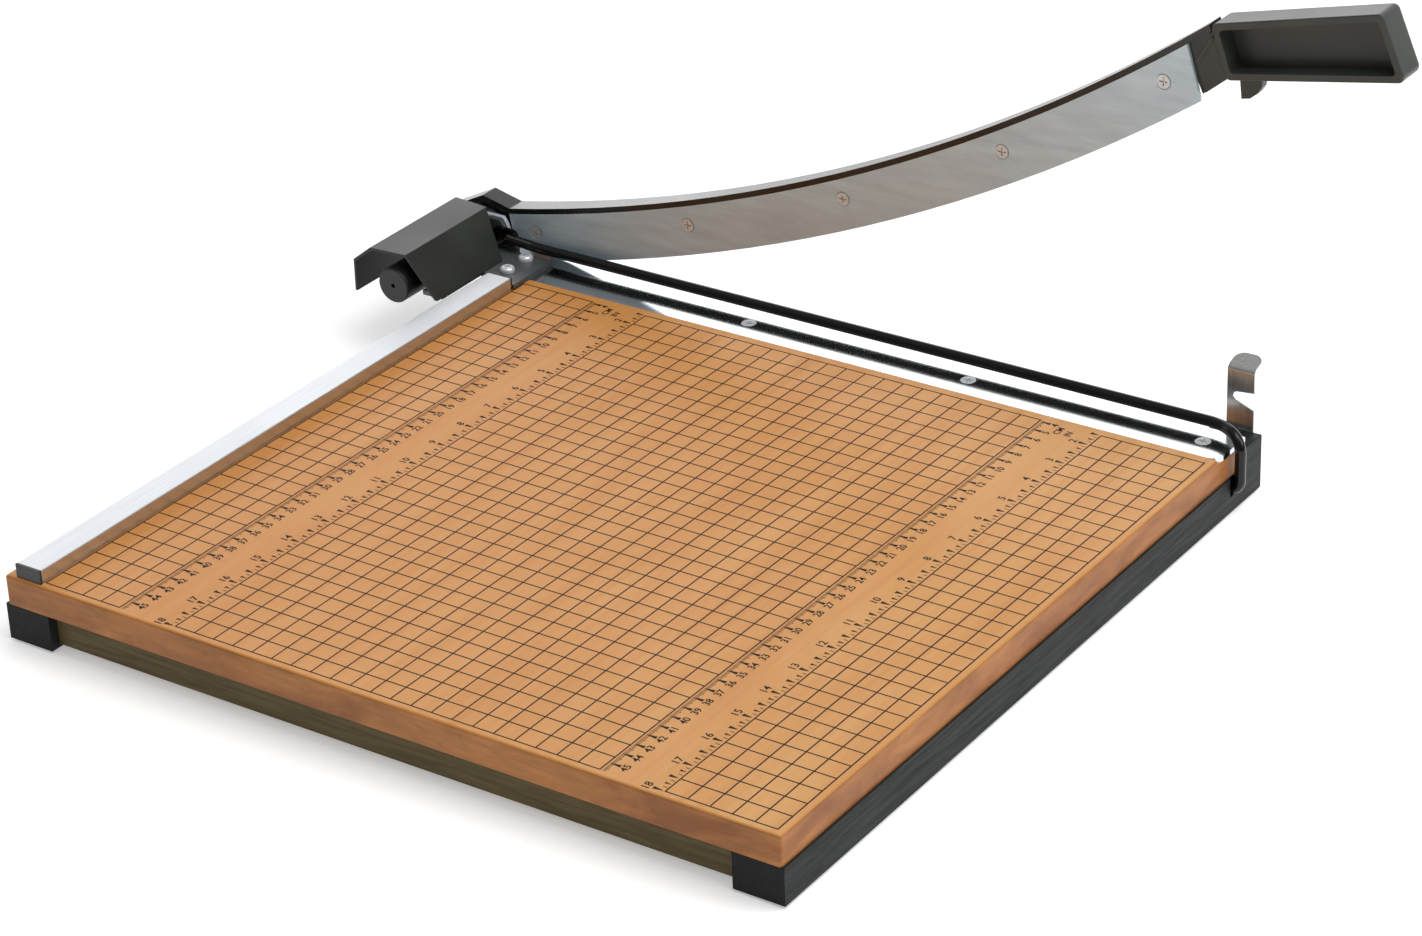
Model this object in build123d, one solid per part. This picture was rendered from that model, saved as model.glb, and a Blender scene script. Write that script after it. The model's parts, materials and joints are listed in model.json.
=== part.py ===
from build123d import *
import math
import os

# Guillotine paper cutter: a square baseboard on two runners, a steel bed strip along
# its right edge, and a curved blade on an arm that swings about a sprung pivot at the
# back right corner. The arm is modelled raised, with the blade clear of the board.
# +X points to the blade side, +Y away from the user towards the pivot, +Z up.
# The origin is the centre of the board's footprint, on the surface that it stands on.

# ---- driving dimensions (mm) ----
BOARD_WIDTH = 460.0
BOARD_DEPTH = 487.0
BOARD_THICK = 17.3
BOARD_TOP = 40.0
CUT_X = 232.0
EDGE_GAP = 0.3

RUNNER_WIDTH = 29.6
RUNNER_PROUD = 1.5
FOOT_GAP = 1.5
RUNNER_END_X = 249.5
RUNNER_END_TOP = 33.8

STRIP_WIDTH = 31.7
STRIP_THICK = 3.0
STRIP_FRONT_Y = -243.9
STRIP_BACK_Y = 225.0

FENCE_FRONT_Y = 219.0
FENCE_WIDTH = 17.0
FENCE_HEIGHT = 8.0
FENCE_LEFT_X = -227.0
FENCE_RIGHT_X = 182.2

RAIL_RADIUS = 3.175
RAIL_X = 227.0
RAIL_Z = 47.0

PLATE_THICK = 3.0
PIVOT_Y = 274.0
PIVOT_Z = 48.0
SHAFT_RADIUS = 5.0
RUNNING_GAP = 0.06

HOOD_LEFT_X = 143.5
HOOD_RIGHT_X = 228.0
HOOD_SHEET = 1.6
EAR_LEFT_X = 224.5

# Blade, arm flange and screw row are arcs about one centre.
CURVE_Y = 486.0
CURVE_Z = 1220.0
FLANGE_RADIUS = 1176.9
BLADE_TOP_RADIUS = 1180.4
SCREW_RADIUS = 1192.2
WEB_RADIUS = 1200.0
CUTTING_RADIUS = 1210.5
FIRST_SCREW_ANGLE = 12.09
SCREW_ANGLE_STEP = 5.61
BLADE_SCREWS = 5

BLADE_SCREW_HEAD = 4.0
BLADE_SCREW_SHANK = 2.5
BLADE_THICK = 2.2
WEB_THICK = 3.8
FLANGE_WIDTH = 13.0

HANDLE_DEPTH = 22.0
HANDLE_WALL = 4.0
HANDLE_HOLLOW = 14.0

CLIP_THICK = 0.9
CLIP_FRONT_Y = -239.5
CLIP_WIDTH = 16.5
CLIP_TOP_Z = 68.2
CLIP_BEND_RADIUS = 3.8
CLIP_TONGUE_REACH = 10.0
CLIP_TONGUE_CORNER = 6.0
CLIP_TONGUE_RISE = 15.0

# ---- sizes that follow from them ----
BOARD_RIGHT = BOARD_WIDTH / 2
BOARD_FRONT = -BOARD_DEPTH / 2
BOARD_BACK = BOARD_DEPTH / 2
BOARD_UNDER = BOARD_TOP - BOARD_THICK
FRONT_FACE_Y = BOARD_FRONT - RUNNER_PROUD
BACK_FACE_Y = BOARD_BACK + RUNNER_PROUD
WEB_X = CUT_X + BLADE_THICK
WEB_OUTER_X = WEB_X + WEB_THICK
EAR_X = EAR_LEFT_X + PLATE_THICK
STRIP_LEFT_X = CUT_X - EDGE_GAP - STRIP_WIDTH


# ---- helpers ----
def block(x0, x1, y0, y1, z0, z1):
    """A box between two limits on each axis."""
    centre = ((x0 + x1) / 2, (y0 + y1) / 2, (z0 + z1) / 2)
    return Pos(*centre) * Box(x1 - x0, y1 - y0, z1 - z0)


def rod_x(y, z, radius, x0, x1):
    """A cylinder along X."""
    return Pos((x0 + x1) / 2, y, z) * Rot(0, 90, 0) * Cylinder(radius, x1 - x0)


def rod_y(x, z, radius, y0, y1):
    """A cylinder along Y."""
    return Pos(x, (y0 + y1) / 2, z) * Rot(90, 0, 0) * Cylinder(radius, y1 - y0)


def rod_z(x, y, radius, z0, z1):
    """A cylinder along Z."""
    return Pos(x, y, (z0 + z1) / 2) * Cylinder(radius, z1 - z0)


def tube_x(y, z, outer, inner, x0, x1):
    """A tube along X."""
    return rod_x(y, z, outer, x0, x1) - rod_x(y, z, inner, x0 - 1, x1 + 1)


def plate_yz(points, x0, x1):
    """A flat plate across X from an outline of (y, z) points."""
    face = make_face(Polyline([(x0, y, z) for y, z in points], close=True))
    return extrude(face, amount=x1 - x0, dir=(1, 0, 0))


def plate_xy(points, z0, z1):
    """A flat plate across Z from an outline of (x, y) points."""
    face = make_face(Polyline([(x, y, z0) for x, y in points], close=True))
    return extrude(face, amount=z1 - z0, dir=(0, 0, 1))


def hexagon_x(y, z, across, x0, x1):
    """A hexagonal prism along X."""
    corner = across / math.sqrt(3)
    turns = [math.radians(60 * i) for i in range(6)]
    return plate_yz([(y + corner * math.cos(t), z + corner * math.sin(t)) for t in turns], x0, x1)


def curve_point(radius, angle):
    """The (y, z) of a point on one of the blade's arcs, at an angle in degrees."""
    turn = math.radians(angle)
    return CURVE_Y - radius * math.sin(turn), CURVE_Z - radius * math.cos(turn)


def curve_angle(radius, y):
    """The angle in degrees where an arc of the blade passes a given y."""
    return math.degrees(math.asin((CURVE_Y - y) / radius))


def curved_plate(x0, x1, upper, lower, back, front):
    """A plate between two arcs; back and front are the upper and lower corner y at each end."""
    def arc(radius, y0, y1):
        angles = (curve_angle(radius, y0), curve_angle(radius, y1))
        middle = (angles[0] + angles[1]) / 2
        ends = [curve_point(radius, angle) for angle in (angles[0], middle, angles[1])]
        return ThreePointArc(*[(x0, y, z) for y, z in ends])

    top = arc(upper, back[0], front[0])
    bottom = arc(lower, front[1], back[1])
    outline = [top, Line(top @ 1, bottom @ 0), bottom, Line(bottom @ 1, top @ 0)]
    return extrude(make_face(outline), amount=x1 - x0, dir=(1, 0, 0))


def cross_recess(radius, depth):
    """A cutter for a cross recess that sinks below z = 0."""
    slot = Pos(0, 0, -depth / 2) * Box(2 * radius, 0.36 * radius, depth)
    return slot + Rot(0, 0, 90) * slot


def countersunk_screw(head, shank, length):
    """A screw along -Z whose flat head is flush with z = 0."""
    depth = head - shank
    body = Pos(0, 0, -depth / 2) * Cone(shank, head, depth)
    body += Pos(0, 0, -length / 2) * Cylinder(shank, length)
    return body - cross_recess(0.62 * head, 0.5 * depth + 0.6)


def countersunk_hole(head, shank, length, rim=0.1):
    """The clearance hole for a countersunk screw; rim is how far the countersink shows round the head."""
    gap = 0.1
    depth = head - shank
    cone = Pos(0, 0, -depth / 2) * Cone(shank + gap, head + rim, depth)
    return cone + Pos(0, 0, (1 - length) / 2) * Cylinder(shank + gap, length + 1)


def pan_screw(head, height, shank, length):
    """A screw along -Z with a domed head that sits on z = 0."""
    dome = Cylinder(head, height, align=(Align.CENTER, Align.CENTER, Align.MIN))
    dome = fillet(dome.edges().group_by(Axis.Z)[-1], 0.7 * height)
    body = dome + Pos(0, 0, -length / 2) * Cylinder(shank, length)
    return body - Pos(0, 0, height) * cross_recess(0.55 * head, 0.6 * height)


# ---- base ----
STRIP_SCREW_X = CUT_X - 16
STRIP_SCREW_YS = [-226.3 + 148.8 * i for i in range(3)]
STRIP_SCREW_LENGTH = 14.0
BRACKET_SCREW_XS = (198.5, 217.1)
BRACKET_SCREW_Y = 233.8
FENCE_SCREW_XS = (-200, -22, 156)
FENCE_MID_Y = FENCE_FRONT_Y + FENCE_WIDTH / 2
RUNNER_SCREW_XS = (-180, 0, 180)
RUNNER_MID_YS = (FRONT_FACE_Y + RUNNER_WIDTH / 2, BACK_FACE_Y - RUNNER_WIDTH / 2)
FOOT_XS = (-205, 205)


def make_board():
    board = block(-BOARD_RIGHT, BOARD_RIGHT, BOARD_FRONT, BOARD_BACK, BOARD_UNDER, BOARD_TOP)
    board = fillet(board.edges().group_by(Axis.Z)[-1] + board.edges().filter_by(Axis.Z), 1.6)
    board -= block(STRIP_LEFT_X - 0.1, BOARD_RIGHT + 1, BOARD_FRONT - 1, STRIP_BACK_Y + 0.1,
                   BOARD_TOP - STRIP_THICK, BOARD_TOP + 1)
    for y in STRIP_SCREW_YS:
        board -= rod_z(STRIP_SCREW_X, y, 2.1, BOARD_TOP - 16, BOARD_TOP)
    for x in BRACKET_SCREW_XS:
        board -= rod_z(x, BRACKET_SCREW_Y, 2.3, BOARD_TOP - 15, BOARD_TOP + 1)
    for x in FENCE_SCREW_XS:
        board -= rod_z(x, FENCE_MID_Y, 2.3, BOARD_UNDER - 1, BOARD_TOP + 1)
        board -= rod_z(x, FENCE_MID_Y, 5.0, BOARD_UNDER - 1, BOARD_UNDER + 4)
    for x in RUNNER_SCREW_XS:
        for y in RUNNER_MID_YS:
            board -= rod_z(x, y, 2.1, BOARD_UNDER - 1, BOARD_UNDER + 11)
    return board


def drill_runner(runner, y):
    """Screw holes with counterbores, and the recesses that the feet sit in."""
    for x in RUNNER_SCREW_XS:
        runner -= rod_z(x, y, 2.3, 0, BOARD_UNDER + 1)
        runner -= rod_z(x, y, 5.0, 0, FOOT_GAP + 5)
    for x in FOOT_XS:
        runner -= rod_z(x, y, 9.1, 0, FOOT_GAP + 1.5)
    return runner


def make_front_runner():
    """The front runner; its right end rises beside the board and is hollowed for the blade."""
    back_y = FRONT_FACE_Y + RUNNER_WIDTH
    runner = block(-BOARD_RIGHT, RUNNER_END_X, FRONT_FACE_Y, back_y, FOOT_GAP, BOARD_UNDER)
    raised = block(BOARD_RIGHT + 0.3, RUNNER_END_X, FRONT_FACE_Y, back_y, BOARD_UNDER, RUNNER_END_TOP)
    wall, front_wall = 5.5, 9.0
    raised -= block(BOARD_RIGHT, RUNNER_END_X - wall, FRONT_FACE_Y + front_wall, back_y + 1,
                    BOARD_UNDER, RUNNER_END_TOP + 1)
    runner = runner + raised
    runner -= block(RAIL_FOOT_X - 3.6, RAIL_FOOT_X + 3.6, FRONT_FACE_Y - 1, RAIL_TAIL_Y + 0.5,
                    RAIL_TAIL_Z - 3.7, BOARD_UNDER + 1)
    for y in CLIP_SCREW_YS:
        runner -= rod_x(y, CLIP_SCREW_Z, 1.8, RUNNER_END_X - 14, RUNNER_END_X + 1)
    return drill_runner(runner, RUNNER_MID_YS[0])


def make_rear_runner():
    runner = block(-BOARD_RIGHT, BOARD_RIGHT, BACK_FACE_Y - RUNNER_WIDTH, BACK_FACE_Y, FOOT_GAP, BOARD_UNDER)
    return drill_runner(runner, RUNNER_MID_YS[1])


def make_apron(side):
    """A board that joins the runners along one side, set back under the baseboard."""
    outer, thick, bottom = 224.0, 12.0, 3.4
    length = BOARD_DEPTH / 2 + RUNNER_PROUD - RUNNER_WIDTH
    x0, x1 = sorted((side * outer, side * (outer - thick)))
    return block(x0, x1, -length, length, bottom, BOARD_UNDER)


def make_feet():
    height = FOOT_GAP + 1.5
    foot = Pos(0, 0, height / 2) * Cylinder(9.0, height)
    foot = fillet(foot.edges().group_by(Axis.Z)[0], 0.6)
    return [Pos(x, y, 0) * foot for x in FOOT_XS for y in RUNNER_MID_YS]


def make_runner_screws():
    seat = FOOT_GAP + 5
    screw = Rot(180, 0, 0) * pan_screw(4.2, 2.6, 2.0, BOARD_UNDER - seat + 10)
    return [Pos(x, y, seat) * screw for x in RUNNER_SCREW_XS for y in RUNNER_MID_YS]


def make_bed_strip():
    """The flat steel strip that the blade shears against, let into the board."""
    strip = block(STRIP_LEFT_X, CUT_X - EDGE_GAP, STRIP_FRONT_Y, STRIP_BACK_Y,
                  BOARD_TOP - STRIP_THICK, BOARD_TOP)
    front_corner = strip.edges().filter_by(Axis.Z).sort_by_distance(
        (STRIP_LEFT_X, STRIP_FRONT_Y, BOARD_TOP))[0]
    strip = fillet(front_corner, 7.0)
    for y in STRIP_SCREW_YS:
        strip -= Pos(STRIP_SCREW_X, y, BOARD_TOP) * countersunk_hole(4.4, 1.9, STRIP_THICK + 1)
    return strip


def make_strip_screws():
    screw = countersunk_screw(4.4, 1.9, STRIP_SCREW_LENGTH)
    return [Pos(STRIP_SCREW_X, y, BOARD_TOP) * screw for y in STRIP_SCREW_YS]


def make_fence():
    """An aluminium channel with inward lips, standing square to the cut."""
    wall, lip = 1.5, 4.0
    back = FENCE_FRONT_Y + FENCE_WIDTH
    fence = block(FENCE_LEFT_X, FENCE_RIGHT_X, FENCE_FRONT_Y, back, BOARD_TOP, BOARD_TOP + FENCE_HEIGHT)
    fence = fillet(fence.edges().filter_by(Axis.X).group_by(Axis.Z)[-1], 0.5)
    inside = (FENCE_LEFT_X - 1, FENCE_RIGHT_X + 1)
    fence -= block(*inside, FENCE_FRONT_Y + wall, back - wall,
                   BOARD_TOP + wall, BOARD_TOP + FENCE_HEIGHT - wall)
    fence -= block(*inside, FENCE_FRONT_Y + lip, back - lip, BOARD_TOP - 1, BOARD_TOP + wall + 1)
    return fence


def make_fence_plugs():
    """A push-in end plug at each end of the fence."""
    cap, wall, reach = 1.4, 1.55, 8.0
    back = FENCE_FRONT_Y + FENCE_WIDTH
    plugs = []
    for x, outward in ((FENCE_LEFT_X, -1), (FENCE_RIGHT_X, 1)):
        cover = sorted((x, x + outward * cap))
        tongue = sorted((x, x - outward * reach))
        plug = block(*cover, FENCE_FRONT_Y, back, BOARD_TOP, BOARD_TOP + FENCE_HEIGHT)
        plug += block(*tongue, FENCE_FRONT_Y + wall, back - wall,
                      BOARD_TOP + wall, BOARD_TOP + FENCE_HEIGHT - wall)
        plugs.append(plug)
    return plugs


def make_fence_nuts():
    """Square nuts that slide in the fence and take its screws."""
    half, thick = 5.0, 2.6
    nut = block(-half, half, -half, half, 1.55, 1.55 + thick) - Cylinder(2.1, 20)
    return [Pos(x, FENCE_MID_Y, BOARD_TOP) * nut for x in FENCE_SCREW_XS]


def make_fence_screws():
    seat = BOARD_UNDER + 4
    screw = Rot(180, 0, 0) * pan_screw(4.0, 2.5, 2.0, BOARD_TOP + 5.5 - seat)
    return [Pos(x, FENCE_MID_Y, seat) * screw for x in FENCE_SCREW_XS]


# ---- guard rail ----
RAIL_FOOT_X = 217.0
RAIL_FOOT_Y = -248.8
RAIL_TAIL_Y = -228.0
RAIL_TAIL_Z = 15.0
RAIL_TAB_Y = 262.0
RAIL_TAB_Z = 52.0
RAIL_TAB_X = EAR_LEFT_X - 3.0


def make_guard_rail():
    """A bent round bar that keeps fingers from the blade, flattened at its back end."""
    route = [
        (RAIL_FOOT_X, RAIL_TAIL_Y, RAIL_TAIL_Z),
        (RAIL_FOOT_X, RAIL_FOOT_Y, RAIL_TAIL_Z),
        (RAIL_FOOT_X, RAIL_FOOT_Y, RAIL_Z),
        (RAIL_X, RAIL_FOOT_Y + 18.0, RAIL_Z),
        (RAIL_X, 232.0, RAIL_Z),
        (RAIL_TAB_X - 0.4, 250.0, RAIL_TAB_Z),
    ]
    path = FilletPolyline(*route, radius=[6.0, 10.0, 25.0, 20.0])
    bar = sweep(Plane(origin=path @ 0, z_dir=path % 0) * Circle(RAIL_RADIUS), path=path)
    tab = block(RAIL_TAB_X, EAR_LEFT_X, 244.0, RAIL_TAB_Y, RAIL_TAB_Z - 5, RAIL_TAB_Z + 5)
    tab = fillet(tab.edges().filter_by(Axis.X), 4.0)
    keep_clear = block(EAR_LEFT_X, EAR_LEFT_X + 20, 240.0, 300.0, BOARD_TOP, BOARD_TOP + 40)
    tab -= rod_x(RAIL_TAB_Y - 5, RAIL_TAB_Z, 2.1, RAIL_TAB_X - 1, EAR_LEFT_X + 1)
    return bar - keep_clear + tab


def make_rail_rivet():
    """The rivet that holds the rail's flattened end to the bracket's ear."""
    y, z = RAIL_TAB_Y - 5, RAIL_TAB_Z
    rivet = rod_x(y, z, 2.0, RAIL_TAB_X - 0.5, EAR_X + 0.5)
    rivet += rod_x(y, z, 3.6, RAIL_TAB_X - 1.6, RAIL_TAB_X)
    return rivet + rod_x(y, z, 3.2, EAR_X, EAR_X + 1.2)


# ---- pivot end ----
HOOD_FRONT_TOP = (266.2, 68.1)
HOOD_BACK_TOP = (293.2, 67.0)
HOOD_BACK_SLOPE = (306.6, 56.5)
HOOD_BACK_BOTTOM = (307.0, 36.0)
HOOD_FRONT_SLOPE = 1.153
HOOD_FLOOR = BOARD_TOP + PLATE_THICK + 0.1
HOOD_TRIM_TOP_X = 223.4
HOOD_TRIM_FOOT_X = 207.5
HOOD_SCREW_Z = 48.0
HOOD_SCREW_XS = (208.0, 218.0)
TAB_BACK_Y = 304.8
THRUST_X = 229.2
WASHER_FLAT_Z = 60.5
HUB_FACE_X = CUT_X


def make_hinge_bracket():
    """Bent steel bracket: a tongue on the board, a shelf behind it, and an upright ear."""
    top = BOARD_TOP + PLATE_THICK
    tongue = [(184.2, 218.6), (223.4, 218.6), (223.4, 246.0), (EAR_X, 246.0), (EAR_X, 262.0),
              (152.0, 262.0), (152.0, 247.5), (190.0, 247.5)]
    bracket = plate_xy(tongue, BOARD_TOP, top)
    ear = [(246.0, BOARD_TOP), (246.0, 44.0), (257.5, 60.5), (288.0, 60.5), (TAB_BACK_Y, 52.0),
           (TAB_BACK_Y, BOARD_TOP)]
    bracket += plate_yz(ear, EAR_LEFT_X, EAR_X)
    bracket += block(202.0, EAR_X, TAB_BACK_Y - PLATE_THICK, TAB_BACK_Y, BOARD_TOP, 54.0)
    bracket -= rod_x(PIVOT_Y, PIVOT_Z, 7.05, EAR_LEFT_X - 1, EAR_X + 1)
    bracket -= rod_x(RAIL_TAB_Y - 5, RAIL_TAB_Z, 2.1, EAR_LEFT_X - 1, EAR_X + 1)
    for x in BRACKET_SCREW_XS:
        bracket -= rod_z(x, BRACKET_SCREW_Y, 2.4, BOARD_TOP - 1, top + 1)
    for x in HOOD_SCREW_XS:
        bracket -= rod_y(x, HOOD_SCREW_Z, 1.7, TAB_BACK_Y - 5, TAB_BACK_Y + 1)
    return bracket


def make_bracket_screws():
    screw = pan_screw(4.6, 3.2, 2.2, 16.0)
    return [Pos(x, BRACKET_SCREW_Y, BOARD_TOP + PLATE_THICK) * screw for x in BRACKET_SCREW_XS]


def hood_outline(inset):
    """The hood's outline of (y, z) points, moved inwards by a sheet thickness."""
    front_y, front_z = HOOD_FRONT_TOP
    lean = inset * math.hypot(1, HOOD_FRONT_SLOPE) / HOOD_FRONT_SLOPE
    foot_y = front_y - (front_z - HOOD_FLOOR) / HOOD_FRONT_SLOPE
    return [
        (foot_y + lean, HOOD_FLOOR),
        (front_y + lean - inset / HOOD_FRONT_SLOPE, front_z - inset),
        (HOOD_BACK_TOP[0] - 0.4 * inset, HOOD_BACK_TOP[1] - inset),
        (HOOD_BACK_SLOPE[0] - inset, HOOD_BACK_SLOPE[1] - 0.5 * inset),
        (HOOD_BACK_BOTTOM[0] - inset, HOOD_BACK_BOTTOM[1]),
    ]


def make_hood():
    """A folded sheet cover over the spring housing, with its front edge cut back at the ear."""
    points = hood_outline(0) + hood_outline(HOOD_SHEET)[::-1]
    hood = plate_yz(points, HOOD_LEFT_X, HOOD_RIGHT_X)
    front_y, front_z = HOOD_FRONT_TOP
    trim = [(HOOD_TRIM_TOP_X, front_z + 1), (HOOD_TRIM_FOOT_X, HOOD_FLOOR - 1),
            (HOOD_RIGHT_X + 1, HOOD_FLOOR - 1),
            (HOOD_RIGHT_X + 1, front_z + 1)]
    face = make_face(Polyline([(x, 230.0, z) for x, z in trim], close=True))
    hood -= extrude(face, amount=front_y - 230.0, dir=(0, 1, 0))
    hood -= plate_xy([(HOOD_TRIM_TOP_X, front_y), (HOOD_RIGHT_X, HOOD_BACK_TOP[0]),
                      (HOOD_RIGHT_X + 1, front_y)],
                     HOOD_BACK_SLOPE[1], front_z + 1)
    for x in HOOD_SCREW_XS:
        hood -= rod_y(x, HOOD_SCREW_Z, 2.0, TAB_BACK_Y - 1, HOOD_BACK_BOTTOM[0] + 1)
    return hood


def make_hood_screws():
    screw = Rot(-90, 0, 0) * pan_screw(3.4, 2.2, 1.6, 5.0)
    return [Pos(x, HOOD_BACK_BOTTOM[0], HOOD_SCREW_Z) * screw for x in HOOD_SCREW_XS]


def make_pivot_bushing():
    """Nylon bush in the ear, with a flange on the blade side."""
    bush = rod_x(PIVOT_Y, PIVOT_Z, 7.0, EAR_LEFT_X, EAR_X)
    bush += rod_x(PIVOT_Y, PIVOT_Z, 12.0, EAR_X, THRUST_X - 0.1)
    return bush - rod_x(PIVOT_Y, PIVOT_Z, SHAFT_RADIUS + RUNNING_GAP, EAR_LEFT_X - 1, THRUST_X + 1)


def make_thrust_washer():
    """White nylon washer that the arm's hub runs against, with a flat under the hood."""
    washer = tube_x(PIVOT_Y, PIVOT_Z, 19.5, SHAFT_RADIUS + RUNNING_GAP, THRUST_X, HUB_FACE_X - 0.1)
    flat = block(THRUST_X - 1, HUB_FACE_X, PIVOT_Y - 25, PIVOT_Y + 25, WASHER_FLAT_Z, PIVOT_Z + 25)
    return washer - flat


def make_spring_housing():
    """Steel tube round the spring, fixed to the ear."""
    return tube_x(PIVOT_Y, PIVOT_Z, 11.0, 9.6, 165.0, EAR_LEFT_X)


def make_tension_spring():
    """Compression spring that draws the blade against the bed strip."""
    mean, wire, start, turns = 7.9, 0.8, 169.0, 11
    length = EAR_LEFT_X - 1.2 - start
    helix = Helix(pitch=length / turns, height=length, radius=mean)
    coil = sweep(Plane(origin=helix @ 0, z_dir=helix % 0) * Circle(wire), path=helix, is_frenet=True)
    return Pos(start, PIVOT_Y, PIVOT_Z) * Rot(0, 90, 0) * coil


def make_spring_seat():
    return tube_x(PIVOT_Y, PIVOT_Z, 9.2, SHAFT_RADIUS + RUNNING_GAP, 166.0, 167.8)


def make_tension_nut():
    nut = hexagon_x(PIVOT_Y, PIVOT_Z, 15.0, 157.5, 165.5)
    return nut - rod_x(PIVOT_Y, PIVOT_Z, SHAFT_RADIUS + 0.03, 150.0, 170.0)


def make_tension_cap():
    """Black cap over the nut, with a small hole in its end."""
    cap = rod_x(PIVOT_Y, PIVOT_Z, 11.0, 139.4, 163.8)
    cap = fillet(cap.edges().group_by(Axis.X)[0], 1.0)
    cap -= rod_x(PIVOT_Y, PIVOT_Z, 8.8, 156.0, 170.0)
    cap -= rod_x(PIVOT_Y, PIVOT_Z, SHAFT_RADIUS + 0.03, 145.0, 170.0)
    return cap - rod_x(PIVOT_Y, PIVOT_Z, 1.4, 138.0, 150.0)


def make_pivot_bolt():
    """Shoulder bolt that turns with the arm, its head on the outside of the hub."""
    bolt = rod_x(PIVOT_Y, PIVOT_Z, SHAFT_RADIUS, 145.0, WEB_OUTER_X + 1)
    return bolt + hexagon_x(PIVOT_Y, PIVOT_Z, 16.0, WEB_OUTER_X, WEB_OUTER_X + 6.4)


# ---- arm, blade and handle ----
ARM_BACK_Y = 255.5
ARM_FRONT_Y = -216.0
BLADE_BACK = (256.0, 250.0)
BLADE_FRONT = (-203.3, -212.2)
WEB_BACK = (250.0, 244.0)
HUB_RADIUS = 20.0
HUB_CREST = (275.5, 70.6)
HUB_SHOULDER = (300.2, 58.1)
HUB_HEEL = (303.0, 42.0)
FLANGE_THICK = BLADE_TOP_RADIUS - FLANGE_RADIUS
HANDLE_TOP = [(-216.3, 275.6), (-314.0, 299.5)]
HANDLE_BOTTOM = [(-328.8, 264.4), (-226.5, 245.7)]
LUG_SCREW_PLACES = [(-213.0, 257.0), (-217.6, 246.0)]


def screw_places():
    """The (y, z) of each blade screw."""
    return [curve_point(SCREW_RADIUS, FIRST_SCREW_ANGLE + SCREW_ANGLE_STEP * i) for i in range(BLADE_SCREWS)]


def make_arm():
    """Cast arm: a curved web with a top flange, and a faceted hub round the pivot."""
    flange_end = CUT_X + FLANGE_WIDTH
    web = curved_plate(WEB_X, WEB_OUTER_X, BLADE_TOP_RADIUS - 0.2, WEB_RADIUS, WEB_BACK, (-216.4, -207.0))
    web += plate_yz([(-205.0, 250.0), (-217.4, 272.0), (-225.6, 246.4), (-212.3, 234.6)], WEB_X, WEB_OUTER_X)
    flange = curved_plate(CUT_X, flange_end, FLANGE_RADIUS, BLADE_TOP_RADIUS, (ARM_BACK_Y, ARM_BACK_Y),
                          (ARM_FRONT_Y, ARM_FRONT_Y - 1.5))
    back_z = curve_point(FLANGE_RADIUS, curve_angle(FLANGE_RADIUS, ARM_BACK_Y))[1]
    crown = [(ARM_BACK_Y, back_z), HUB_CREST, HUB_SHOULDER, HUB_HEEL,
             (HUB_HEEL[0] - 3.4, HUB_HEEL[1]), (HUB_SHOULDER[0] - 3.2, HUB_SHOULDER[1] - 2.2),
             (HUB_CREST[0] - 0.4, HUB_CREST[1] - 3.9), (ARM_BACK_Y, back_z - 3.6)]
    flange += plate_yz(crown, CUT_X, flange_end)
    cheek = [(252.0, 62.5), (HUB_CREST[0], 67.5), (297.5, 56.5), (300.0, 42.0), (291.0, 36.5),
             (262.0, 31.5), (243.0, 39.5)]
    hub = plate_yz(cheek, WEB_X, WEB_OUTER_X) + rod_x(PIVOT_Y, PIVOT_Z, HUB_RADIUS, WEB_X, WEB_OUTER_X)
    hub += rod_x(PIVOT_Y, PIVOT_Z, 15.5, HUB_FACE_X, WEB_X)
    arm = web + flange + hub
    arm -= rod_x(PIVOT_Y, PIVOT_Z, SHAFT_RADIUS + 0.02, CUT_X - 1, WEB_OUTER_X + 1)
    for y, z in screw_places():
        arm -= rod_x(y, z, 2.55, WEB_X - 1, WEB_OUTER_X + 1)
    for y, z in LUG_SCREW_PLACES:
        arm -= rod_x(y, z, 1.6, WEB_X - 1, WEB_OUTER_X + 1)
    return arm


def make_blade():
    """Curved steel blade with a ground bevel along its cutting edge."""
    blade = curved_plate(CUT_X, WEB_X, BLADE_TOP_RADIUS, CUTTING_RADIUS, BLADE_BACK, BLADE_FRONT)
    slope = 1.6
    lip = Polyline([(WEB_X + 1, 0, -CUTTING_RADIUS - 1), (WEB_X + 1, 0, slope - CUTTING_RADIUS + 2),
                    (CUT_X + 0.4, 0, -CUTTING_RADIUS - 1)], close=True)
    bevel = revolve(make_face(lip), Axis((0, 0, 0), (1, 0, 0)), 30.0)
    blade -= Pos(0, CURVE_Y, CURVE_Z) * Rot(-38.0, 0, 0) * bevel
    for y, z in screw_places():
        hole = countersunk_hole(BLADE_SCREW_HEAD, BLADE_SCREW_SHANK, BLADE_THICK + 2, 0.8)
        blade -= Pos(CUT_X, y, z) * Rot(0, -90, 0) * hole
    return blade


def make_blade_screws():
    """Countersunk screws through the blade into the arm; the last is longer, for the stud."""
    screws = []
    for i, (y, z) in enumerate(screw_places()):
        length = BLADE_THICK + WEB_THICK
        if i == BLADE_SCREWS - 1:
            length += 6.0
        screw = countersunk_screw(BLADE_SCREW_HEAD, BLADE_SCREW_SHANK, length)
        screws.append(Pos(CUT_X, y, z) * Rot(0, -90, 0) * screw)
    return screws


def make_catch_stud():
    """Round stud on the last blade screw that the latch clip's notch takes."""
    y, z = screw_places()[-1]
    stud = rod_x(y, z, 4.6, WEB_OUTER_X, WEB_OUTER_X + 6.5)
    stud += rod_x(y, z, 2.45, WEB_OUTER_X + 6.5, RUNNER_END_X - 0.3)
    return stud - rod_x(y, z, 2.5, WEB_OUTER_X - 1, WEB_OUTER_X + 6.1)


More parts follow.
